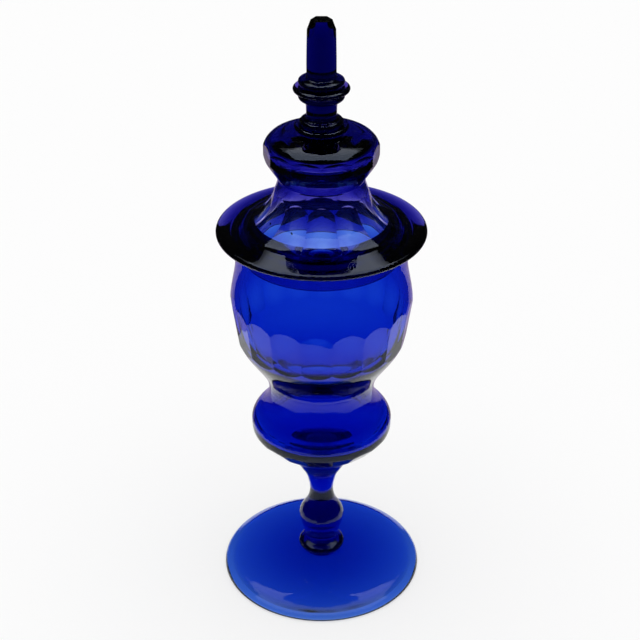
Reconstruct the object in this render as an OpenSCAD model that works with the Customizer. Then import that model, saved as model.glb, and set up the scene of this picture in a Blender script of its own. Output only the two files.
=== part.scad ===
// Covered apothecary jar of cut cobalt glass, on a stem and foot, with a steeple finial.
// Millimetres. The origin is the centre of the standing face, and +Z is up.
// The cut panels face the front, which is -Y.

/* [Foot] */
// Diameter of the round foot
foot_d = 110; // [96:1:124]
// Thickness of the foot at its rounded edge
foot_edge_t = 3.8; // [3:0.2:5]
// Inner diameter of the flat ring that the foot stands on
foot_rest_d = 95; // [92:1:97]
// Height of the dished underside at its middle
foot_dish_h = 6.6; // [5.6:0.2:7]
// Height of the foot where the stem stands on it
foot_h = 11.4; // [9:0.2:14]
// Diameter of the ground hollow in the middle of the underside
pontil_d = 18; // [12:1:24]
// Depth of that hollow
pontil_depth = 0.8; // [0.4:0.1:1.4]

/* [Stem] */
// Diameter of the small ring on the foot
foot_ring_d = 25.4; // [22:0.2:29]
// Height of the small ring on the foot
foot_ring_h = 5.6; // [4:0.2:7]
// Height of the baluster stem
stem_h = 49; // [44:1:56]
// Diameter of the stem where it stands on the ring
stem_base_d = 18; // [15:0.5:21]
// Diameter of the baluster at its widest
baluster_d = 24.8; // [22:0.2:28]
// Height of the widest point above the bottom of the stem
baluster_level = 16.8; // [14:0.2:19]
// Diameter of the stem at its neck
stem_neck_d = 12.9; // [11:0.1:15]
// Height of the neck above the bottom of the stem
stem_neck_level = 34; // [31:0.5:37]
// Diameter of the top of the stem
stem_top_d = 22.2; // [20:0.2:24]
// Diameter of the collar above its flare
collar_d = 28.6; // [27:0.2:30]
// Diameter of the seat where the collar spreads into the bowl
collar_seat_d = 35; // [32:0.2:38]
// Height of the flared collar under the bowl
collar_h = 13.8; // [12:0.2:16]

/* [Bowl] */
// Height of the bowl piece, from the collar to the rim
bowl_h = 129; // [126:0.2:136]
// Thickness of the blown wall
bowl_wall = 4.2; // [3.4:0.1:4.8]
// Thickness of the wall at the waist, where the glass was drawn in
waist_wall = 7.4; // [6:0.2:8]
// Thickness of the bottom of the bowl on the axis
bowl_floor = 6; // [5:0.5:8]
// Diameter of the lower bulb at the upper edge of its facets
bulb_edge_d = 73.2; // [71:0.2:74]
// Height of that edge above the bottom of the bowl
bulb_edge_level = 12.6; // [11:0.2:14]
// Diameter of the lower bulb at its widest
bulb_d = 75.4; // [75:0.2:80]
// Height of the widest point of the lower bulb
bulb_level = 19.2; // [18:0.2:21]
// Diameter of the waist
waist_d = 56; // [53:0.2:60]
// Height of the waist
waist_level = 39.2; // [38:0.2:42]
// Diameter of the bowl at the foot of the cut panels
panel_foot_d = 86.8; // [85:0.2:88]
// Height of the foot of the cut panels
panel_foot_level = 69.3; // [67:0.1:72]
// Diameter of the bowl at its widest
belly_d = 95; // [93:0.2:98]
// Height of the widest point
belly_level = 92.1; // [90:0.1:95]
// Diameter of the mouth, outside
mouth_d = 88.4; // [86:0.2:91]
// Rounding of the ground rim
rim_round = 1; // [0.6:0.1:1.4]

/* [Cut panels of the bowl] */
// Number of upright panels round the bowl
panel_count = 18; // [14:1:22]
// Turn of the first panel from the front, in degrees
panel_turn = -3; // [-10:1:10]
// Height of the top of the arched panels above the bottom of the bowl
panel_top_level = 96.9; // [95:0.1:100]
// Lean from upright of the facets under the lower bulb, in degrees
facet_lean = 42; // [40:0.5:46]

/* [Lid] */
// Gap all round between the neck of the lid and the mouth
lid_gap = 1.4; // [0.4:0.1:2]
// Depth that the neck of the lid reaches into the mouth
neck_depth = 10.6; // [8:0.2:14]
// Thickness of the neck of the lid
neck_wall = 3.4; // [2.8:0.1:3.8]
// Diameter of the brim
brim_d = 107.4; // [104:0.2:114]
// Thickness of the brim at its rounded edge
brim_edge_t = 3.4; // [2.8:0.1:4]
// Height of the middle of the brim's edge above its seat
brim_edge_level = 3.8; // [3.4:0.1:4.4]
// Thickness of the blown wall of the lid
lid_wall = 4; // [3.2:0.1:4.6]
// Diameter of the dome where it leaves the brim
dome_d = 61.8; // [60:0.2:66]
// Height of that place above the seat
dome_level = 11.9; // [11:0.1:13]
// Diameter of the waist of the lid
lid_waist_d = 43.6; // [42:0.2:47]
// Height of the waist of the lid above the seat
lid_waist_level = 32.8; // [31:0.2:35]
// Diameter of the bulb of the lid before it is cut
lid_bulb_d = 58.8; // [57:0.2:62]
// Height of the widest point of that bulb above the seat
lid_bulb_level = 47.6; // [46:0.2:49]
// Height of the shallow dished top of the bulb above the seat
lid_top_level = 56.5; // [55:0.1:58]
// Thickness of the glass at the top of the bulb
lid_top_t = 6; // [4.5:0.5:8]

/* [Cuts of the lid] */
// Number of flutes round the dome, and of flats round the bulb
lid_cut_count = 12; // [10:1:14]
// Depth of a flute at its middle
flute_depth = 1.2; // [0.8:0.1:1.6]
// Radius of the wheel that cut the flutes
flute_wheel_r = 20; // [16:1:24]
// Depth of a flat on the bulb at its middle
flat_depth = 1.5; // [0.8:0.1:1.8]

/* [Finial] */
// Diameter of the dark neck on the bulb
button_neck_d = 17.6; // [15:0.2:20]
// Diameter of the thin disc above it
button_d = 27.2; // [25:0.2:30]
// Height of the neck and the disc together
button_h = 7; // [6.4:0.1:9]
// Diameter of the bead on the disc
bead_d = 21.6; // [20:0.2:23]
// Height of the bead
bead_h = 2.8; // [2.2:0.1:3.6]
// Diameter of the waisted neck of the finial
finial_neck_d = 15.2; // [13:0.2:17]
// Height of the waisted neck
finial_neck_h = 9.8; // [8:0.2:12]
// Diameter of the two small rings
ring_d = 22.8; // [21:0.2:25]
// Height of the lower ring
lower_ring_h = 4.2; // [3:0.2:5]
// Diameter of the disc between the rings
disc_d = 28; // [26:0.2:31]
// Height of the disc between the rings
disc_h = 3.6; // [3.2:0.2:5]
// Height of the upper ring
upper_ring_h = 4; // [3.4:0.2:5]

/* [Spire] */
// Height of the spire
spire_h = 28.6; // [24:0.2:36]
// Diameter of the spire
spire_d = 14.6; // [13:0.2:16]
// Width across the flats of its top face
spire_top_d = 9; // [8:0.2:10]
// Length of the cut facets at its top
spire_facet_h = 8.9; // [7:0.1:11]
// Number of facets at its top
spire_facets = 6; // [5:1:8]

/* [Hidden] */
$fn = 96;

bright = [0.13, 0.2, 0.82];
deep = [0.05, 0.05, 0.55];
dark = [0.03, 0.02, 0.33];

// Steps in each smooth stretch of an outline
steps = 6;
// A cutting block or wheel reaches this far past the glass
past = 20;

// Levels of the seats, from the standing face upwards
foot_ring_z = foot_h;
stem_z = foot_ring_z + foot_ring_h;
collar_z = stem_z + stem_h;
bowl_z = collar_z + collar_h;
seat_z = bowl_z + bowl_h;
finial_seat_level = lid_top_level - 2;
button_z = seat_z + finial_seat_level;
bead_z = button_z + button_h;
finial_neck_z = bead_z + bead_h;
lower_ring_z = finial_neck_z + finial_neck_h;
disc_z = lower_ring_z + lower_ring_h;
upper_ring_z = disc_z + disc_h;
spire_z = upper_ring_z + upper_ring_h;

// Radius of the flat ground face where one gather stands on the next
foot_seat_r = stem_base_d / 2;
lid_neck_r = mouth_d / 2 - bowl_wall - lid_gap;
lid_bore_r = lid_neck_r - neck_wall;

// An outline is a list of stations [radius, height, lean], where lean is the direction of the
// outline from upright, in degrees, outwards positive. A fourth value is the lean that the
// outline leaves with, where the station is a corner.
function heading(lean) = [sin(lean), cos(lean)];
function lean_out(s) = len(s) > 3 ? s[3] : s[2];

// One smooth stretch from station a to station b, without its first point
function stretch(a, b, n) =
    let (
        p = [a[0], a[1]],
        q = [b[0], b[1]],
        pull = norm(q - p) / pow(cos((b[2] - lean_out(a)) / 4), 2),
        u = heading(lean_out(a)) * pull,
        v = heading(b[2]) * pull
    )
    [for (i = [1:n]) let (t = i / n, s = 1 - t)
        p * s * s * (1 + 2 * t) + u * s * s * t + q * t * t * (1 + 2 * s) - v * t * t * s];

function outline(stations, n = steps) = [
    [stations[0][0], stations[0][1]],
    for (k = [0:len(stations) - 2]) each stretch(stations[k], stations[k + 1], n)
];

// The same stations moved inwards, square to the outline, each by its own wall
function inside(stations, walls) = [
    for (i = [0:len(stations) - 1]) let (s = stations[i], lean = (s[2] + lean_out(s)) / 2)
        [s[0] - walls[i] * cos(lean), s[1] + walls[i] * sin(lean), lean]
];

module turned(points) {
    rotate_extrude() polygon(points);
}

// A ring of glass: flat faces of radius seat_r below and above, and a rounded edge
module merese(d, h, seat_r, top_r) {
    r = d / 2;
    turned(concat([[0, 0]], outline([
        [seat_r, 0, 90],
        [r, h / 2, 0],
        [top_r, h, -90]
    ]), [[0, h]]));
}

// Children are repeated round the axis; the first one faces the front
module around(count, turn = 0) {
    for (i = [0:count - 1]) rotate([0, 0, turn - 90 + i * 360 / count]) children();
}

// A flat cutting block whose face passes through the point [r, z] and leans outwards
module flat_cut(r, z, lean, below, above, width) {
    translate([r, 0, z]) rotate([0, lean, 0])
        translate([0, -width / 2, -below]) cube([past, width, below + above]);
}

// Stations of the bowl from the lower bulb to the mouth, heights from its bottom
bowl_side = [
    [bulb_edge_d / 2, bulb_edge_level, 35],
    [bulb_d / 2, bulb_level, 0],
    [bulb_d / 2 - 4.5, bulb_level + 7.3, -45],
    [waist_d / 2, waist_level, 0],
    [panel_foot_d / 2, panel_foot_level, 24],
    [belly_d / 2, belly_level, 0],
    [mouth_d / 2, bowl_h - 13.6, -4]
];
bowl_side_walls = [bowl_wall + 0.8, bowl_wall + 0.2, (bowl_wall + waist_wall) / 2, waist_wall,
    bowl_wall, bowl_wall, bowl_wall];

// The foot is a low dome of even thickness, and stands on a flat ring near its edge
module foot() {
    shoulder_r = foot_d / 2 - 11;
    crown_r = foot_d / 2 - 19;
    color(bright) difference() {
        turned(concat([[0, foot_dish_h]], outline([
            [pontil_d / 2, foot_dish_h, 93],
            [crown_r, foot_dish_h - 1.9, 101],
            [foot_rest_d / 2, 0, 114, 90],
            [foot_d / 2 - 1.4, 0, 90],
            [foot_d / 2, foot_edge_t * 0.45, 0],
            [foot_d / 2 - 1.8, foot_edge_t, -64],
            [shoulder_r, foot_edge_t + 3.3, -73],
            [crown_r, foot_edge_t + 5.1, -82],
            [foot_ring_d / 2, foot_h - 0.6, -87],
            [foot_seat_r, foot_h, -90]
        ]), [[0, foot_h]]));
        pontil_r = (pow(pontil_d / 2, 2) + pow(pontil_depth, 2)) / (2 * pontil_depth);
        translate([0, 0, foot_dish_h + pontil_depth - pontil_r]) sphere(r = pontil_r);
    }
}

module foot_merese() {
    color(dark) translate([0, 0, foot_ring_z]) merese(foot_ring_d, foot_ring_h, foot_seat_r, foot_seat_r);
}

module stem() {
    color(dark) translate([0, 0, stem_z]) turned(concat([[0, 0]], outline([
        [stem_base_d / 2, 0, 0],
        [baluster_d / 2, baluster_level, 0],
        [stem_neck_d / 2 + 1.5, baluster_level + 9.8, -24],
        [stem_neck_d / 2, stem_neck_level, 0],
        [stem_neck_d / 2 + 1.6, stem_neck_level + 8.8, 15],
        [stem_top_d / 2, stem_h, 32]
    ]), [[0, stem_h]]));
}

module bowl_collar() {
    color(dark) translate([0, 0, collar_z]) turned(concat([[0, 0]], outline([
        [stem_top_d / 2, 0, 32],
        [collar_d / 2, collar_h / 2, 12],
        [collar_seat_d / 2, collar_h, 34]
    ]), [[0, collar_h]]));
}

module bowl() {
    seat_r = collar_seat_d / 2;
    rim_r = mouth_d / 2;
    bore_r = rim_r - bowl_wall;
    panel_lean = atan2((belly_d - panel_foot_d) / 2 - 0.1, panel_top_level - panel_foot_level);
    outer = concat([[0, 0]], outline(concat([[seat_r, 0, 78]], bowl_side)), outline([
        [rim_r, bowl_h - rim_round, 0],
        [rim_r - rim_round, bowl_h, -90]
    ], 3), [[0, bowl_h]]);
    facet_r = bulb_edge_d / 2 * cos(180 / panel_count);
    inner = concat([[0, bowl_floor]], outline(concat([
        [8, bowl_floor + 0.3, 86]
    ], inside(bowl_side, bowl_side_walls))), outline([
        [bore_r, bowl_h - rim_round, 0],
        [bore_r + rim_round, bowl_h, 90]
    ], 3), [[bore_r + rim_round, bowl_h + past], [0, bowl_h + past]]);
    color(bright) translate([0, 0, bowl_z]) difference() {
        turned(outer);
        turned(inner);
        around(panel_count, panel_turn)
            flat_cut(panel_foot_d / 2, panel_foot_level, panel_lean, 8, 34, past);
        around(panel_count, panel_turn)
            flat_cut(facet_r, bulb_edge_level, facet_lean, 16, 3, past);
    }
}

module lid_shell() {
    edge_r = brim_edge_t / 2;
    edge_mid = brim_d / 2 - edge_r;
    dome = [
        [dome_d / 2, dome_level, -42],
        [dome_d / 2 - 6.7, dome_level + 12.6, -22],
        [lid_waist_d / 2, lid_waist_level, -6, 24],
        [lid_bulb_d / 2 - 2.8, lid_bulb_level - 7, 31],
        [lid_bulb_d / 2, lid_bulb_level, 0]
    ];
    outer = concat([[0, -neck_depth]], outline([
        [lid_neck_r - 1, -neck_depth, 90],
        [lid_neck_r, 1 - neck_depth, 0]
    ], 3), [[lid_neck_r, 0], [mouth_d / 2 + 1, 0]], outline(concat([
        [edge_mid, brim_edge_level - edge_r, 84],
        [brim_d / 2, brim_edge_level, 0],
        [edge_mid, brim_edge_level + edge_r, -88]
    ], dome, [
        [lid_bulb_d / 2 - 3.2, lid_top_level - 2.6, -46],
        [lid_bulb_d / 2 - 8.4, lid_top_level, -90],
        [button_neck_d / 2, finial_seat_level, -90]
    ])), [[0, finial_seat_level]]);
    inner = concat([
        [0, -neck_depth - past],
        [lid_bore_r, -neck_depth - past],
        [lid_bore_r, -0.5]
    ], outline(concat(inside(dome, [for (s = dome) lid_wall]), [
        [lid_bulb_d / 2 - lid_wall - 8, lid_top_level - lid_top_t, -84],
        [0, finial_seat_level - lid_top_t + 1, -90]
    ])));
    flute_mid = [dome_d / 2 - 3.7, dome_level + 6.6];
    flute_out = flute_wheel_r - flute_depth;
    color(deep) translate([0, 0, seat_z]) difference() {
        turned(outer);
        turned(inner);
        around(lid_cut_count)
            translate([flute_mid[0] + flute_out * cos(31), 0, flute_mid[1] + flute_out * sin(31)])
                rotate([90, 0, 0]) cylinder(r = flute_wheel_r, h = past, center = true);
        around(lid_cut_count, 180 / lid_cut_count)
            flat_cut(lid_bulb_d / 2 - flat_depth, lid_bulb_level, 0, 6, 6, past);
    }
}

module finial_button() {
    edge_t = 2.6;
    color(dark) translate([0, 0, button_z]) turned(concat([[0, 0]], outline([
        [button_neck_d / 2, 0, 0],
        [button_neck_d / 2 + 0.6, button_h - edge_t - 1.4, 20],
        [button_d / 2 - edge_t / 2, button_h - edge_t, 90],
        [button_d / 2, button_h - edge_t / 2, 0],
        [button_d / 2 - edge_t / 2, button_h, -90]
    ]), [[0, button_h]]));
}

module finial_bead() {
    color(dark) translate([0, 0, bead_z]) merese(bead_d, bead_h, bead_d / 2 - 1, bead_d / 2 - 1);
}

module finial_neck() {
    color(dark) translate([0, 0, finial_neck_z]) turned(concat([[0, 0]], outline([
        [bead_d / 2 - 2, 0, -60],
        [finial_neck_d / 2, finial_neck_h * 0.5, 0],
        [finial_neck_d / 2 + 0.8, finial_neck_h, 20]
    ]), [[0, finial_neck_h]]));
}

module finial_lower_ring() {
    color(dark) translate([0, 0, lower_ring_z])
        merese(ring_d, lower_ring_h, finial_neck_d / 2 + 0.8, ring_d / 2 - 1.2);
}

module finial_disc() {
    color(dark) translate([0, 0, disc_z]) merese(disc_d, disc_h, ring_d / 2 - 1.2, ring_d / 2 - 1.2);
}

module finial_upper_ring() {
    color(dark) translate([0, 0, upper_ring_z])
        merese(ring_d, upper_ring_h, ring_d / 2 - 1.2, spire_d / 2 + 0.4);
}

module spire() {
    facet_lean = atan2((spire_top_d - spire_d) / 2, spire_facet_h);
    color(dark) translate([0, 0, spire_z]) difference() {
        turned(concat([[0, 0]], outline([
            [spire_d / 2 + 0.4, 0, -20],
            [spire_d / 2, 2.5, 0],
            [spire_d / 2 - 0.5, spire_h, -2]
        ]), [[0, spire_h]]));
        around(spire_facets) flat_cut(spire_top_d / 2, spire_h, facet_lean, spire_h, 2, past);
    }
}

foot();
foot_merese();
stem();
bowl_collar();
bowl();
lid_shell();
finial_button();
finial_bead();
finial_neck();
finial_lower_ring();
finial_disc();
finial_upper_ring();
spire();
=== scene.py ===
from math import atan2, ceil, cos, degrees, hypot, pi, radians, sin, sqrt

import bpy
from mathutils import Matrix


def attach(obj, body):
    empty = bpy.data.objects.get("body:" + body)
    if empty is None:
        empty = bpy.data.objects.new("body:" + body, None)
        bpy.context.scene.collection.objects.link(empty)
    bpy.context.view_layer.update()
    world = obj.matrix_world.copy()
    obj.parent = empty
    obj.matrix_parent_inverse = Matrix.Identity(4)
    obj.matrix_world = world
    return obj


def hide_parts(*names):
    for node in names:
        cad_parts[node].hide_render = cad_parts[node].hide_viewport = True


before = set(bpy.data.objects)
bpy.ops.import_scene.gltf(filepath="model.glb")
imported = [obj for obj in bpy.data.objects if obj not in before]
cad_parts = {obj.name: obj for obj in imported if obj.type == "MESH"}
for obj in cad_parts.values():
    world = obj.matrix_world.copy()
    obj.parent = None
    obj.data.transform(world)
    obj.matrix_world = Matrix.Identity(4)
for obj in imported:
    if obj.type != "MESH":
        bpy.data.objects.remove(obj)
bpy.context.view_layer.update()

mm = 0.001
segments = 144      # sides of every turned piece
bendStep = 4.0      # degrees of turn in one step of an outline
runStep = 5.0       # mm of length that adds one more step
nearAxis = 0.001    # mm; an outline that comes this near to the axis closes there
seam = 0.15         # mm that a gather sinks into the one below it, where they were fused hot
softEdge = 5.0      # degrees; a sharper meeting of two faces stays a crisp cut
wheelWall = 12.0    # mm of cutting wheel outside its face, more than any cut is deep

cameraSettings = {
    "sensor": 36.0,             # mm
    "lens": 87.95,              # mm
    "distance": 0.8205,
    "elevation": 30.37,
    "aim": (0.0, 0.0, 0.1589),
    "shiftX": -1.5 / 640,       # pixels over the width of the picture
    "farthest": 100.0,
}


def placeCamera(s):
    tilt = radians(s["elevation"])
    x, y, z = s["aim"]
    place = (x, y - s["distance"] * cos(tilt), z + s["distance"] * sin(tilt))
    bpy.ops.object.camera_add(location=place, rotation=(pi / 2 - tilt, 0, 0))
    camera = bpy.context.object
    camera.name = "jarCamera"
    camera.data.sensor_width = s["sensor"]
    camera.data.lens = s["lens"]
    camera.data.shift_x = s["shiftX"]
    camera.data.clip_end = s["farthest"]
    bpy.context.scene.camera = camera


placeCamera(cameraSettings)
print("camera placed")


# Outlines are stations of [radius, height, lean from upright in degrees], in mm. A fourth value
# is the lean that the outline leaves with, where the station is a corner.
def heading(lean):
    return sin(radians(lean)), cos(radians(lean))


def leanOut(station):
    return station[3] if len(station) > 3 else station[2]


# The station that is a step of (out, up, lean) away from a radius and a height
def stepped(r, z, step):
    out, up, lean = step
    return [r + out, z + up, lean]


# The pull makes a stretch between two stations of one circle follow that circle
def stretch(a, b):
    turn = b[2] - leanOut(a)
    length = hypot(b[0] - a[0], b[1] - a[1])
    steps = max(2, ceil(abs(turn) / bendStep) + ceil(length / runStep))
    pull = length / cos(radians(turn / 4)) ** 2
    u, v = heading(leanOut(a)), heading(b[2])
    points = []
    for i in range(1, steps + 1):
        t = i / steps
        s = 1 - t
        points.append(tuple(
            a[k] * s * s * (1 + 2 * t) + u[k] * pull * s * s * t
            + b[k] * t * t * (1 + 2 * s) - v[k] * pull * t * t * s for k in (0, 1)))
    return points


def outline(stations):
    points = [(stations[0][0], stations[0][1])]
    for a, b in zip(stations, stations[1:]):
        points += stretch(a, b)
    return points


# The same stations, each moved in by its wall
def inside(stations, walls):
    moved = []
    for s, wall in zip(stations, walls):
        lean = (s[2] + leanOut(s)) / 2
        moved.append([s[0] - wall * cos(radians(lean)), s[1] + wall * sin(radians(lean)), lean])
    return moved


def raised(points, level):
    return [(r, z + level) for r, z in points]


# A gather at its level, its lowest ring drawn in by the taper and sunk into the one below
def sunk(points, level, taper):
    return [(points[0][0] - taper, level - seam)] + raised(points, level)


mereseShape = {"widest": 0.45, "topLean": -62}      # widest as a share of the height


# A ring of glass on its seat, with a rounded edge
def meresePoints(d, h, seat, top):
    return outline([[seat, 0, 90], [d / 2, h * mereseShape["widest"], 0],
                    [top, h, mereseShape["topLean"]]])


def freshStart():
    if bpy.context.mode != "OBJECT":
        bpy.ops.object.mode_set(mode="OBJECT")
    bpy.ops.object.select_all(action="DESELECT")


def applyPlace():
    bpy.ops.object.transform_apply(location=True, rotation=True, scale=True)


# A disc is drawn at the foot of the outline, then its edge is extruded and scaled ring by ring
def turnPiece(name, points):
    freshStart()
    radius, level = points[0]
    bpy.ops.mesh.primitive_circle_add(vertices=segments, radius=radius * mm, fill_type="TRIFAN",
                                      location=(0, 0, level * mm))
    piece = bpy.context.object
    piece.name = name
    piece.data.name = name
    applyPlace()
    bpy.ops.object.mode_set(mode="EDIT")
    bpy.ops.mesh.select_mode(type="EDGE")
    bpy.ops.mesh.select_all(action="SELECT")
    bpy.ops.mesh.region_to_loop()
    for r, z in points[1:]:
        bpy.ops.mesh.extrude_region_move(
            TRANSFORM_OT_translate={"value": (0, 0, (z - level) * mm)})
        if r < nearAxis:
            bpy.ops.mesh.merge(type="COLLAPSE")
            break
        bpy.ops.transform.resize(value=(r / radius, r / radius, 1),
                                 center_override=(0, 0, z * mm))
        radius, level = r, z
    else:
        bpy.ops.mesh.edge_face_add()
    bpy.ops.mesh.select_all(action="SELECT")
    bpy.ops.mesh.normals_make_consistent(inside=False)
    bpy.ops.object.mode_set(mode="OBJECT")
    return piece


def cutAway(piece, wheel):
    freshStart()
    bpy.context.view_layer.objects.active = piece
    piece.select_set(True)
    cut = piece.modifiers.new("cut", "BOOLEAN")
    cut.operation = "DIFFERENCE"
    cut.solver = "EXACT"
    cut.object = wheel
    bpy.ops.object.modifier_apply(modifier="cut")
    bpy.data.objects.remove(wheel)


# Flat cuts evenly round the axis: the wheel's face touches the circle of radius r at height z.
# A turn of 0 puts the middle of one flat at the front.
def cutFlats(piece, s, z, r):
    run, rise = sin(radians(s["lean"])), cos(radians(s["lean"]))
    low, high = z - s["below"] * rise, z + s["above"] * rise
    corner = 1 / cos(pi / s["count"])
    freshStart()
    bpy.ops.mesh.primitive_cone_add(
        vertices=s["count"], end_fill_type="NOTHING", depth=(high - low) * mm,
        radius1=(r - s["below"] * run) * corner * mm,
        radius2=(r + s["above"] * run) * corner * mm,
        location=(0, 0, (low + high) / 2 * mm),
        rotation=(0, 0, radians(s["turn"] - 180 - 180 / s["count"])))
    wheel = bpy.context.object
    applyPlace()
    rim = wheel.modifiers.new("rim", "SOLIDIFY")
    rim.thickness = wheelWall * mm
    rim.offset = 1
    bpy.ops.object.modifier_apply(modifier="rim")
    cutAway(piece, wheel)


def finishPiece(piece, body, node, material):
    freshStart()
    bpy.context.view_layer.objects.active = piece
    piece.select_set(True)
    bpy.ops.object.shade_smooth_by_angle(angle=radians(softEdge))
    piece.data.materials.clear()
    piece.data.materials.append(material)
    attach(piece, body)
    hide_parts(node)
    print("made", piece.name, len(piece.data.polygons), "faces")


# Materials: arithmetic on a Wire adds Math nodes, and Recipe.add makes any other node
class Wire:
    def __init__(self, recipe, socket):
        self.recipe = recipe
        self.socket = socket

    def math(self, operation, first, second):
        node = self.recipe.add("ShaderNodeMath", {"operation": operation}, {0: first, 1: second})
        return Wire(self.recipe, node.outputs[0])

    def __add__(self, other):
        return self.math("ADD", self, other)

    def __radd__(self, other):
        return self.math("ADD", other, self)

    def __sub__(self, other):
        return self.math("SUBTRACT", self, other)

    def __rsub__(self, other):
        return self.math("SUBTRACT", other, self)

    def __mul__(self, other):
        return self.math("MULTIPLY", self, other)

    def __rmul__(self, other):
        return self.math("MULTIPLY", other, self)


class Recipe:
    def __init__(self, holder):
        holder.use_nodes = True
        self.tree = holder.node_tree
        self.tree.nodes.clear()

    def add(self, kind, settings=None, sockets=None):
        node = self.tree.nodes.new(kind)
        for key, value in (settings or {}).items():
            if key == "stops":
                ramp = node.color_ramp
                while len(ramp.elements) < len(value):
                    ramp.elements.new(1.0)
                for element, (place, color) in zip(ramp.elements, value):
                    element.position = place
                    element.color = color
            else:
                setattr(node, key, value)
        for key, value in (sockets or {}).items():
            if isinstance(value, Wire):
                self.tree.links.new(value.socket, node.inputs[key])
            elif isinstance(value, bpy.types.NodeSocket):
                self.tree.links.new(value, node.inputs[key])
            else:
                node.inputs[key].default_value = value
        return node

    def wire(self, kind, settings=None, sockets=None, output=0):
        return Wire(self, self.add(kind, settings, sockets).outputs[output])


def grey(v):
    return (v, v, v, 1)


jarGlass = {
    "color": (0.0, 0.4, 0.9, 1),        # what the glass lets through
    "density": 700.0,
    "ior": 1.5,
    "sheen": (0.42, 0.5, 0.65, 1),      # how much it mirrors when looked at squarely
    "waviness": 0.35,
    "waveScale": 55.0,
    "waveUpright": 0.35,                # below 1, the waves are drawn out along the axis
    "waveHeight": 0.0006,               # m
    "fineScale": 900.0,
    "fineShare": 0.004,
    "haze": 0.012,
    "smearScale": 70.0,
    "smearFrom": 0.45,                  # smears are hazy between these two values of their noise
    "smearTo": 0.75,
    "smearTint": (0.96, 0.97, 1, 1),
}
# The lid came from a deeper pot of glass
finialGlass = dict(jarGlass, color=(0.15, 0.0, 0.745, 1), density=740.0,
                   sheen=(0.6, 0.72, 1.0, 1))
lidGlass = dict(finialGlass, color=(0.1, 0.06, 0.745, 1), density=650.0)


def makeGlass(name, s):
    material = bpy.data.materials.new(name)
    g = Recipe(material)
    place = g.wire("ShaderNodeTexCoord", output="Object")
    tall = g.wire("ShaderNodeMapping", {}, {"Vector": place, "Scale": (1, 1, s["waveUpright"])})
    waves = g.wire("ShaderNodeTexNoise", {}, {
        "Vector": tall, "Scale": s["waveScale"], "Detail": 1.0})
    fine = g.wire("ShaderNodeTexNoise", {}, {
        "Vector": place, "Scale": s["fineScale"], "Detail": 3.0})
    smears = g.wire("ShaderNodeTexNoise", {}, {
        "Vector": place, "Scale": s["smearScale"], "Detail": 4.0})
    haze = g.wire("ShaderNodeMapRange", {}, {
        "Value": smears, "From Min": s["smearFrom"], "From Max": s["smearTo"],
        "To Min": 0.0, "To Max": s["haze"]})
    bump = g.wire("ShaderNodeBump", {}, {
        "Height": waves + fine * s["fineShare"], "Strength": s["waviness"],
        "Distance": s["waveHeight"]}, output="Normal")
    tint = g.wire("ShaderNodeMix", {"data_type": "RGBA"}, {
        "Factor": smears, "A": grey(1), "B": s["smearTint"]}, output="Result")
    shader = g.add("ShaderNodeBsdfPrincipled", {}, {
        "Base Color": tint, "Roughness": haze, "IOR": s["ior"], "Transmission Weight": 1.0,
        "Specular Tint": s["sheen"], "Normal": bump})
    depth = g.add("ShaderNodeVolumeAbsorption", {},
                  {"Color": s["color"], "Density": s["density"]})
    g.add("ShaderNodeOutputMaterial", {},
          {"Surface": shader.outputs[0], "Volume": depth.outputs[0]})
    return material


cobaltJar = makeGlass("cobaltJar", jarGlass)
cobaltLid = makeGlass("cobaltLid", lidGlass)
cobaltFinial = makeGlass("cobaltFinial", finialGlass)
print("glass made")

# In the settings of the pieces, a value of three numbers is a step of (out, up, lean)
levels = {"foot": 0.0, "footMerese": 11.4, "stem": 17.0, "collar": 66.0, "bowl": 79.8,
          "seat": 208.8, "button": 263.3, "bead": 270.3, "finialNeck": 273.1,
          "lowerRing": 282.9, "disc": 287.1, "upperRing": 290.7, "spire": 294.7}

footSettings = {
    "d": 110.0, "h": 11.4, "seatR": 9.0, "ringD": 25.4, "ringDrop": 1.9,
    "pontilD": 18.0, "pontilDepth": 0.8,
    "pontilRings": (0.5, 1.5, 3.0, 4.5, 6.0, 7.5, 8.6),
    "dish": 1.2, "crownIn": 19.0, "crownRise": 0.1,
    "restD": 104.8, "restSlope": 2.6,
    "edge": 3.8, "edgeUnder": 1.4, "edgeWidest": 0.3,
    "shoulder": [(-1.8, 0.0, -62), (-6.5, 2.4, -76), (-10.5, 3.1, -84)],
}


def makeFoot(s):
    low = s["pontilD"] / 2
    rest = s["restD"] / 2
    rim = s["d"] / 2
    bend = (low ** 2 + s["pontilDepth"] ** 2) / (2 * s["pontilDepth"])
    hollow = [(r, s["dish"] + s["pontilDepth"] - bend + sqrt(bend * bend - r * r))
              for r in s["pontilRings"]]
    side = outline([
        [low, s["dish"], 93],
        [rim - s["crownIn"], s["dish"] + s["crownRise"], 90],
        [rest - s["restSlope"], s["dish"], 92, 114],
        [rest, 0, 116, 90],
        [rim - s["edgeUnder"], 0, 90],
        [rim, s["edge"] * s["edgeWidest"], 0],
        *[stepped(rim, s["edge"], step) for step in s["shoulder"]],
        [s["ringD"] / 2, s["h"] - s["ringDrop"], -86],
        [s["seatR"], s["h"], -40]])
    foot = turnPiece("glassFoot", raised(hollow + side, levels["foot"]))
    finishPiece(foot, "jar", "foot", cobaltJar)


makeFoot(footSettings)

footMereseSettings = {"d": 25.4, "h": 5.6, "seat": 9.0, "taper": 0.05}


def makeFootMerese(s):
    points = meresePoints(s["d"], s["h"], s["seat"], s["seat"])
    ring = turnPiece("glassFootMerese", sunk(points, levels["footMerese"], s["taper"]))
    finishPiece(ring, "jar", "foot_merese", cobaltJar)


makeFootMerese(footMereseSettings)

stemSettings = {"baseD": 18.0, "balusterD": 24.8, "balusterLevel": 16.8, "neckD": 12.9,
                "neckLevel": 34.0, "topD": 22.2, "topLean": 32, "h": 49.0, "taper": 0.05,
                "neckOut": 1.5, "neckRise": 9.8, "flare": (1.6, 8.8, 15)}


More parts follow.
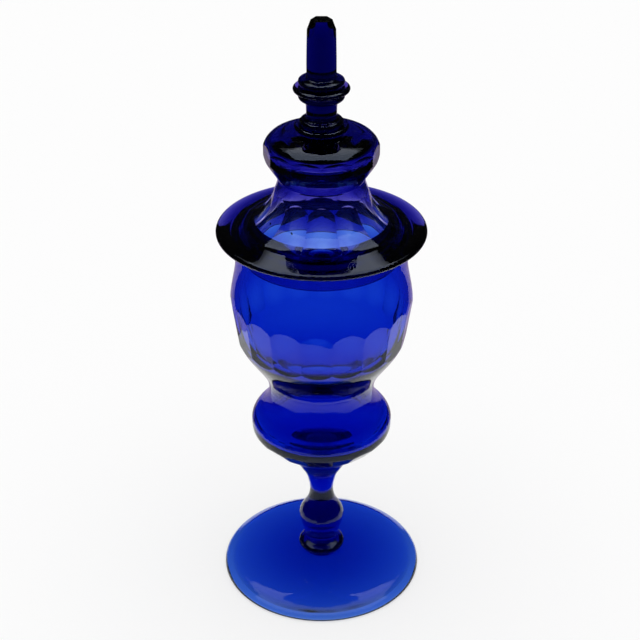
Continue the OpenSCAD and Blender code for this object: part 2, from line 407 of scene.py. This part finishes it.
def makeStem(s):
    neck = s["neckD"] / 2
    points = outline([
        [s["baseD"] / 2, 0, 0],
        [s["balusterD"] / 2, s["balusterLevel"], 0],
        [neck + s["neckOut"], s["balusterLevel"] + s["neckRise"], -24],
        [neck, s["neckLevel"], 0],
        stepped(neck, s["neckLevel"], s["flare"]),
        [s["topD"] / 2, s["h"], s["topLean"]]])
    stem = turnPiece("glassStem", sunk(points, levels["stem"], s["taper"]))
    finishPiece(stem, "jar", "stem", cobaltJar)


makeStem(stemSettings)

collarSettings = {"d": 28.6, "seatD": 35.0, "h": 13.8, "taper": 0.2}


def makeCollar(s):
    points = outline([
        [stemSettings["topD"] / 2, 0, stemSettings["topLean"]],
        [s["d"] / 2, s["h"] / 2, 12],
        [s["seatD"] / 2, s["h"], 34]])
    collar = turnPiece("glassCollar", sunk(points, levels["collar"], s["taper"]))
    finishPiece(collar, "jar", "bowl_collar", cobaltJar)


makeCollar(collarSettings)

bowlSettings = {
    "h": 129.0, "rim": 1.0, "play": 0.08, "taper": 0.3,
    "floor": 6.0, "floorR": 8.0, "floorRise": 0.3, "middleR": 3.0, "middleRise": 0.03,
    "edgeD": 73.2, "edgeLevel": 12.6,
    "bulbD": 75.4, "bulbLevel": 19.2, "bulbShoulder": (-4.5, 7.3, -45),
    "waistD": 56.0, "waistLevel": 39.2,
    "panelFootD": 86.8, "panelFootLevel": 69.3, "panelTopLevel": 96.9, "panelIn": 0.1,
    "bellyD": 95.0, "bellyLevel": 92.1,
    "mouthD": 88.4, "mouthDrop": 13.6, "wall": 4.2,
    "walls": [5.0, 4.4, 5.8, 7.4, 4.2, 4.2, 4.2],       # at the stations of the side
}
panelCuts = {"count": 18, "turn": -3.0, "below": 8.0, "above": 34.0}
facetCuts = {"count": 18, "turn": -3.0, "lean": 42.0, "below": 16.0, "above": 3.0}


def makeBowl(s):
    z = levels["bowl"]
    top = s["h"] - s["play"]
    mouth = s["mouthD"] / 2
    bore = mouth - s["wall"]
    side = [
        [s["edgeD"] / 2, s["edgeLevel"], 35],
        [s["bulbD"] / 2, s["bulbLevel"], 0],
        stepped(s["bulbD"] / 2, s["bulbLevel"], s["bulbShoulder"]),
        [s["waistD"] / 2, s["waistLevel"], 0],
        [s["panelFootD"] / 2, s["panelFootLevel"], 24],
        [s["bellyD"] / 2, s["bellyLevel"], 0],
        [mouth, s["h"] - s["mouthDrop"], -4]]
    outer = outline([
        [collarSettings["seatD"] / 2, 0, 78],
        *side,
        [mouth, top - s["rim"], 0],
        [mouth - s["rim"], top, -90]])
    inner = outline([
        [s["floorR"], s["floor"] + s["floorRise"], 86],
        *inside(side, s["walls"]),
        [bore, top - s["rim"], 0],
        [bore + s["rim"], top, 90]])
    middle = [(s["middleR"], s["floor"] + s["middleRise"]), (0, s["floor"])]
    bowl = turnPiece("glassBowl", sunk(outer + inner[::-1] + middle, z, s["taper"]))
    lean = degrees(atan2((s["bellyD"] - s["panelFootD"]) / 2 - s["panelIn"],
                         s["panelTopLevel"] - s["panelFootLevel"]))
    cutFlats(bowl, dict(panelCuts, lean=lean), z + s["panelFootLevel"], s["panelFootD"] / 2)
    cutFlats(bowl, facetCuts, z + s["edgeLevel"], s["edgeD"] / 2 * cos(pi / facetCuts["count"]))
    finishPiece(bowl, "jar", "bowl", cobaltJar)


makeBowl(bowlSettings)

lidSettings = {
    "gap": 1.4, "neckDepth": 10.6, "neckWall": 3.4, "neckRound": 1.0, "neckTop": -0.5,
    "seatOut": 1.0, "brimD": 107.4, "brimEdge": 3.4, "brimLevel": 3.8,
    "coveR": 39.5, "coveRise": 5.1, "cove": [(35.0, -0.2, -54), (30.0, 4.0, -46)],
    "domeD": 61.8, "domeLevel": 11.9, "domeTop": (-6.7, 12.6, -22),
    "waistD": 43.6, "waistLevel": 32.8,
    "bulbD": 58.8, "bulbLevel": 47.6, "bulbFlare": (-2.8, -7.0, 31),
    "topLevel": 56.5, "crown": [(-3.2, -2.6, -46), (-8.4, -0.2, -74)],
    "buttonNeckD": 17.6, "buttonFoot": (3.5, 1.6, -80),
    "seatLevel": 54.5, "seatRise": 1.5,
    "walls": [2.2, 1.9, 2.8, 4.4, 4.4, 4.2],            # at the stations of the dome
    "topWall": 6.0, "ceilingIn": 8.0, "ceilingR": 1.0, "ceilingRise": 1.0,
}
fluteCuts = {"count": 12, "depth": 1.2, "wheel": 20.0, "sides": 128, "width": 20.0,
             "lean": 31.0, "in": 3.7, "rise": 6.6}
bulbFlats = {"count": 12, "turn": 15.0, "lean": 0.0, "below": 6.0, "above": 6.0, "depth": 1.5}


def makeLid(s):
    z = levels["seat"]
    mouth = bowlSettings["mouthD"] / 2
    neck = mouth - bowlSettings["wall"] - s["gap"]
    bore = neck - s["neckWall"]
    brim = s["brimD"] / 2
    e = s["brimEdge"] / 2
    bulb = s["bulbD"] / 2
    buttonNeck = s["buttonNeckD"] / 2
    dome = [
        *[stepped(0, s["domeLevel"], step) for step in s["cove"]],
        stepped(s["domeD"] / 2, s["domeLevel"], s["domeTop"]),
        [s["waistD"] / 2, s["waistLevel"], -6, 24],
        stepped(bulb, s["bulbLevel"], s["bulbFlare"]),
        [bulb, s["bulbLevel"], 0]]
    inner = [(bore, s["neckTop"])] + outline([
        *inside(dome, s["walls"]),
        [bulb - s["walls"][-1] - s["ceilingIn"], s["topLevel"] - s["topWall"], -84],
        [s["ceilingR"], s["seatLevel"] - s["topWall"] + s["ceilingRise"], -90]])
    skirt = [(bore, -s["neckDepth"])] + outline([
        [neck - s["neckRound"], -s["neckDepth"], 90],
        [neck, s["neckRound"] - s["neckDepth"], 0]]) + [(neck, 0), (mouth + s["seatOut"], 0)]
    outer = outline([
        [brim - e, s["brimLevel"] - e, 84],
        [brim, s["brimLevel"], 0],
        [brim - e, s["brimLevel"] + e, -76],
        [s["coveR"], s["brimLevel"] + s["coveRise"], -74, -62],
        *dome,
        *[stepped(bulb, s["topLevel"], step) for step in s["crown"]],
        stepped(buttonNeck, s["topLevel"], s["buttonFoot"]),
        [buttonNeck, s["seatLevel"] + s["seatRise"], -135]])
    lid = turnPiece("glassLid", raised(inner[::-1] + skirt + outer, z))
    reach = fluteCuts["wheel"] - fluteCuts["depth"]
    r = s["domeD"] / 2 - fluteCuts["in"] + reach * cos(radians(fluteCuts["lean"]))
    up = z + s["domeLevel"] + fluteCuts["rise"] + reach * sin(radians(fluteCuts["lean"]))
    for i in range(fluteCuts["count"]):
        turn = i * 2 * pi / fluteCuts["count"] - pi / 2
        freshStart()
        bpy.ops.mesh.primitive_cylinder_add(
            vertices=fluteCuts["sides"], radius=fluteCuts["wheel"] * mm,
            depth=fluteCuts["width"] * mm,
            location=(r * cos(turn) * mm, r * sin(turn) * mm, up * mm),
            rotation=(pi / 2, 0, turn))
        cutAway(lid, bpy.context.object)
    cutFlats(lid, bulbFlats, z + s["bulbLevel"], bulb - bulbFlats["depth"])
    finishPiece(lid, "lid", "lid_shell", cobaltLid)


makeLid(lidSettings)

spireSettings = {"d": 14.6, "h": 28.6, "footOut": 0.4, "footH": 2.5, "topIn": 0.5,
                 "topD": 9.0, "facetH": 8.9}
spireFacets = {"count": 6, "turn": 0.0, "below": 14.0, "above": 2.0}

finialSettings = {
    "buttonNeckD": 17.6, "buttonD": 27.2, "buttonH": 7.0, "buttonEdge": 2.6,
    "buttonFlare": (0.6, -1.4, 20),
    "beadD": 21.6, "beadH": 2.8, "beadTopIn": 1.0,
    "neckD": 15.2, "neckH": 9.8, "neckFootIn": 2.0, "neckTopOut": 0.8,
    "ringD": 22.8, "ringTopIn": 1.2, "lowerH": 4.2, "discD": 28.0, "discH": 3.6,
    "upperH": 4.0, "taper": 0.1,
}


def makeFinial(s):
    button = s["buttonD"] / 2
    e = s["buttonEdge"]
    bead = s["beadD"] / 2
    beadTop = bead - s["beadTopIn"]
    neckTop = s["neckD"] / 2 + s["neckTopOut"]
    ringTop = s["ringD"] / 2 - s["ringTopIn"]
    spireFoot = spireSettings["d"] / 2 + spireSettings["footOut"]
    parts = [
        ("glassButton", "finial_button", "button", outline([
            [s["buttonNeckD"] / 2, 0, 0],
            stepped(s["buttonNeckD"] / 2, s["buttonH"] - e, s["buttonFlare"]),
            [button - e / 2, s["buttonH"] - e, 90],
            [button, s["buttonH"] - e / 2, 0],
            [button - e / 2, s["buttonH"], -90]])),
        ("glassBead", "finial_bead", "bead",
         meresePoints(s["beadD"], s["beadH"], beadTop, beadTop)),
        ("glassFinialNeck", "finial_neck", "finialNeck", outline([
            [bead - s["neckFootIn"], 0, -60],
            [s["neckD"] / 2, s["neckH"] / 2, 0],
            [neckTop, s["neckH"], 20]])),
        ("glassLowerRing", "finial_lower_ring", "lowerRing",
         meresePoints(s["ringD"], s["lowerH"], neckTop, ringTop)),
        ("glassFinialDisc", "finial_disc", "disc",
         meresePoints(s["discD"], s["discH"], ringTop, ringTop)),
        ("glassUpperRing", "finial_upper_ring", "upperRing",
         meresePoints(s["ringD"], s["upperH"], ringTop, spireFoot)),
    ]
    for name, node, level, points in parts:
        piece = turnPiece(name, sunk(points, levels[level], s["taper"]))
        finishPiece(piece, "lid", node, cobaltFinial)


def makeSpire(s):
    z = levels["spire"]
    points = outline([
        [s["d"] / 2 + s["footOut"], 0, -20],
        [s["d"] / 2, s["footH"], 0],
        [s["d"] / 2 - s["topIn"], s["h"], -2]])
    spire = turnPiece("glassSpire", sunk(points, z, s["footOut"]))
    lean = degrees(atan2((s["topD"] - s["d"]) / 2, s["facetH"]))
    cutFlats(spire, dict(spireFacets, lean=lean), z + s["h"], s["topD"] / 2)
    finishPiece(spire, "lid", "spire", cobaltFinial)


makeFinial(finialSettings)
makeSpire(spireSettings)
print("pieces done")

stageSettings = {
    "floorSize": 12.0,
    "floorLevel": -0.0002,
    "floorColor": grey(0.94),
    "glow": 0.55,           # how far the floor is lifted to white where it is seen
    # painted reflections beyond the board that the jar stands on: a dark tent and a mauve cloth
    # behind the
    #     board, which only reflections see and the camera never does, standing in for a dark
    #     room and a mauve cast
    "boardSide": 0.265,
    "boardFront": -0.199,
    "boardBack": 0.15,
    "tentSide": 2.0,
    "tentFront": -1.0,
    "tentBack": 2.0,
    "tentLevel": 0.001,
    "tentHeight": 2.55,
    # painted dark reflection: the colour that reflections see in the tent
    "darkReflectionColor": grey(0.02),
    "clothSide": 0.31,
    "clothBack": 0.7,
    "clothLevel": 0.0015,
    # painted mauve reflection: the colour that reflections see in the cloth
    "mauveReflectionColor": (0.44, 0.36, 0.5, 1),
    # brightness of the room by the sine of the height above the horizon
    "room": [(-1.0, 1.0), (0.2, 1.0), (0.24, 0.4), (0.74, 0.4), (0.78, 1.8), (1.0, 1.8)],
    "ragged": 0.03,
    "raggedScale": 9.0,
}


def makeFloor(s):
    freshStart()
    bpy.ops.mesh.primitive_plane_add(size=s["floorSize"], location=(0, 0, s["floorLevel"]))
    floor = bpy.context.object
    floor.name = "floor"
    paint = bpy.data.materials.new("floorPaint")
    g = Recipe(paint)
    matte = g.add("ShaderNodeBsdfDiffuse", {}, {"Color": s["floorColor"]})
    white = g.add("ShaderNodeEmission", {}, {"Color": grey(1.0), "Strength": 1.0})
    ray = g.add("ShaderNodeLightPath")
    seen = Wire(g, ray.outputs["Is Camera Ray"]) + Wire(g, ray.outputs["Is Glossy Ray"])
    seen = seen + Wire(g, ray.outputs["Is Transmission Ray"])
    lift = g.wire("ShaderNodeClamp", {}, {0: seen}) * s["glow"]
    mix = g.add("ShaderNodeMixShader", {}, {0: lift, 1: matte.outputs[0], 2: white.outputs[0]})
    g.add("ShaderNodeOutputMaterial", {}, {"Surface": mix.outputs[0]})
    floor.data.materials.append(paint)


# Paints a sheet that only reflections see: a painted reflection, which lights nothing and casts
# no shadow
def finishPaintedReflection(prop, paintName, color):
    paint = bpy.data.materials.new(paintName)
    g = Recipe(paint)
    matte = g.add("ShaderNodeBsdfDiffuse", {}, {"Color": color})
    g.add("ShaderNodeOutputMaterial", {}, {"Surface": matte.outputs[0]})
    prop.data.materials.append(paint)
    prop.visible_camera = False
    prop.visible_diffuse = False
    prop.visible_transmission = False
    prop.visible_shadow = False


# The painted dark reflection: a floor with a hole for the board, and walls raised from its outer
# edge. It is drawn as a square of side 1 and then set to size.
def makeDarkReflectionTent(s):
    inset = 0.25
    freshStart()
    bpy.ops.mesh.primitive_plane_add(size=1.0, location=(0, 0, s["tentLevel"]))
    tent = bpy.context.object
    tent.name = "darkReflectionTent"
    applyPlace()
    bpy.ops.object.mode_set(mode="EDIT")
    bpy.ops.mesh.inset(thickness=inset)
    bpy.ops.mesh.delete(type="FACE")
    bpy.ops.mesh.select_mode(type="EDGE")
    bpy.ops.object.mode_set(mode="OBJECT")
    outer = [abs(v.co.x) > inset * 1.5 for v in tent.data.vertices]
    for v in tent.data.vertices:
        edge = "tent" if outer[v.index] else "board"
        v.co.x = s[edge + "Side"] * (1 if v.co.x > 0 else -1)
        v.co.y = s[edge + "Back"] if v.co.y > 0 else s[edge + "Front"]
    for e in tent.data.edges:
        e.select = all(outer[i] for i in e.vertices)
    bpy.ops.object.mode_set(mode="EDIT")
    bpy.ops.mesh.extrude_region_move(TRANSFORM_OT_translate={"value": (0, 0, s["tentHeight"])})
    bpy.ops.object.mode_set(mode="OBJECT")
    finishPaintedReflection(tent, "paintedDarkReflection", s["darkReflectionColor"])


# The painted mauve reflection: a cloth behind the board that only reflections see
def makeMauveReflectionCloth(s):
    freshStart()
    bpy.ops.mesh.primitive_plane_add(size=1.0, location=(
        0, (s["boardBack"] + s["clothBack"]) / 2, s["clothLevel"]))
    cloth = bpy.context.object
    cloth.name = "mauveReflectionCloth"
    cloth.scale = (s["clothSide"] * 2, s["clothBack"] - s["boardBack"], 1)
    applyPlace()
    finishPaintedReflection(cloth, "paintedMauveReflection", s["mauveReflectionColor"])


def makeRoom(s):
    world = bpy.data.worlds.new("studio")
    bpy.context.scene.world = world
    g = Recipe(world)
    direction = g.add("ShaderNodeTexCoord").outputs["Generated"]
    height = g.wire("ShaderNodeSeparateXYZ", {}, {0: direction}, output="Z")
    top = max(v for h, v in s["room"])
    ragged = g.wire("ShaderNodeTexNoise", {}, {
        "Vector": direction, "Scale": s["raggedScale"], "Detail": 3.0})
    level = height * 0.5 + 0.5 + (ragged - 0.5) * s["ragged"]
    room = g.wire("ShaderNodeValToRGB", {
        "stops": [((h + 1) / 2, grey(v / top)) for h, v in s["room"]]}, {0: level})
    light = g.add("ShaderNodeBackground", {}, {"Color": room, "Strength": top})
    g.add("ShaderNodeOutputWorld", {}, {"Surface": light.outputs[0]})


makeFloor(stageSettings)
makeDarkReflectionTent(stageSettings)
makeMauveReflectionCloth(stageSettings)
makeRoom(stageSettings)

scene = bpy.context.scene
scene.view_settings.view_transform = "Standard"
scene.cycles.use_denoising = True
scene.cycles.max_bounces = 32
scene.cycles.transmission_bounces = 32
scene.cycles.glossy_bounces = 12
scene.cycles.diffuse_bounces = 4

print("stage done")
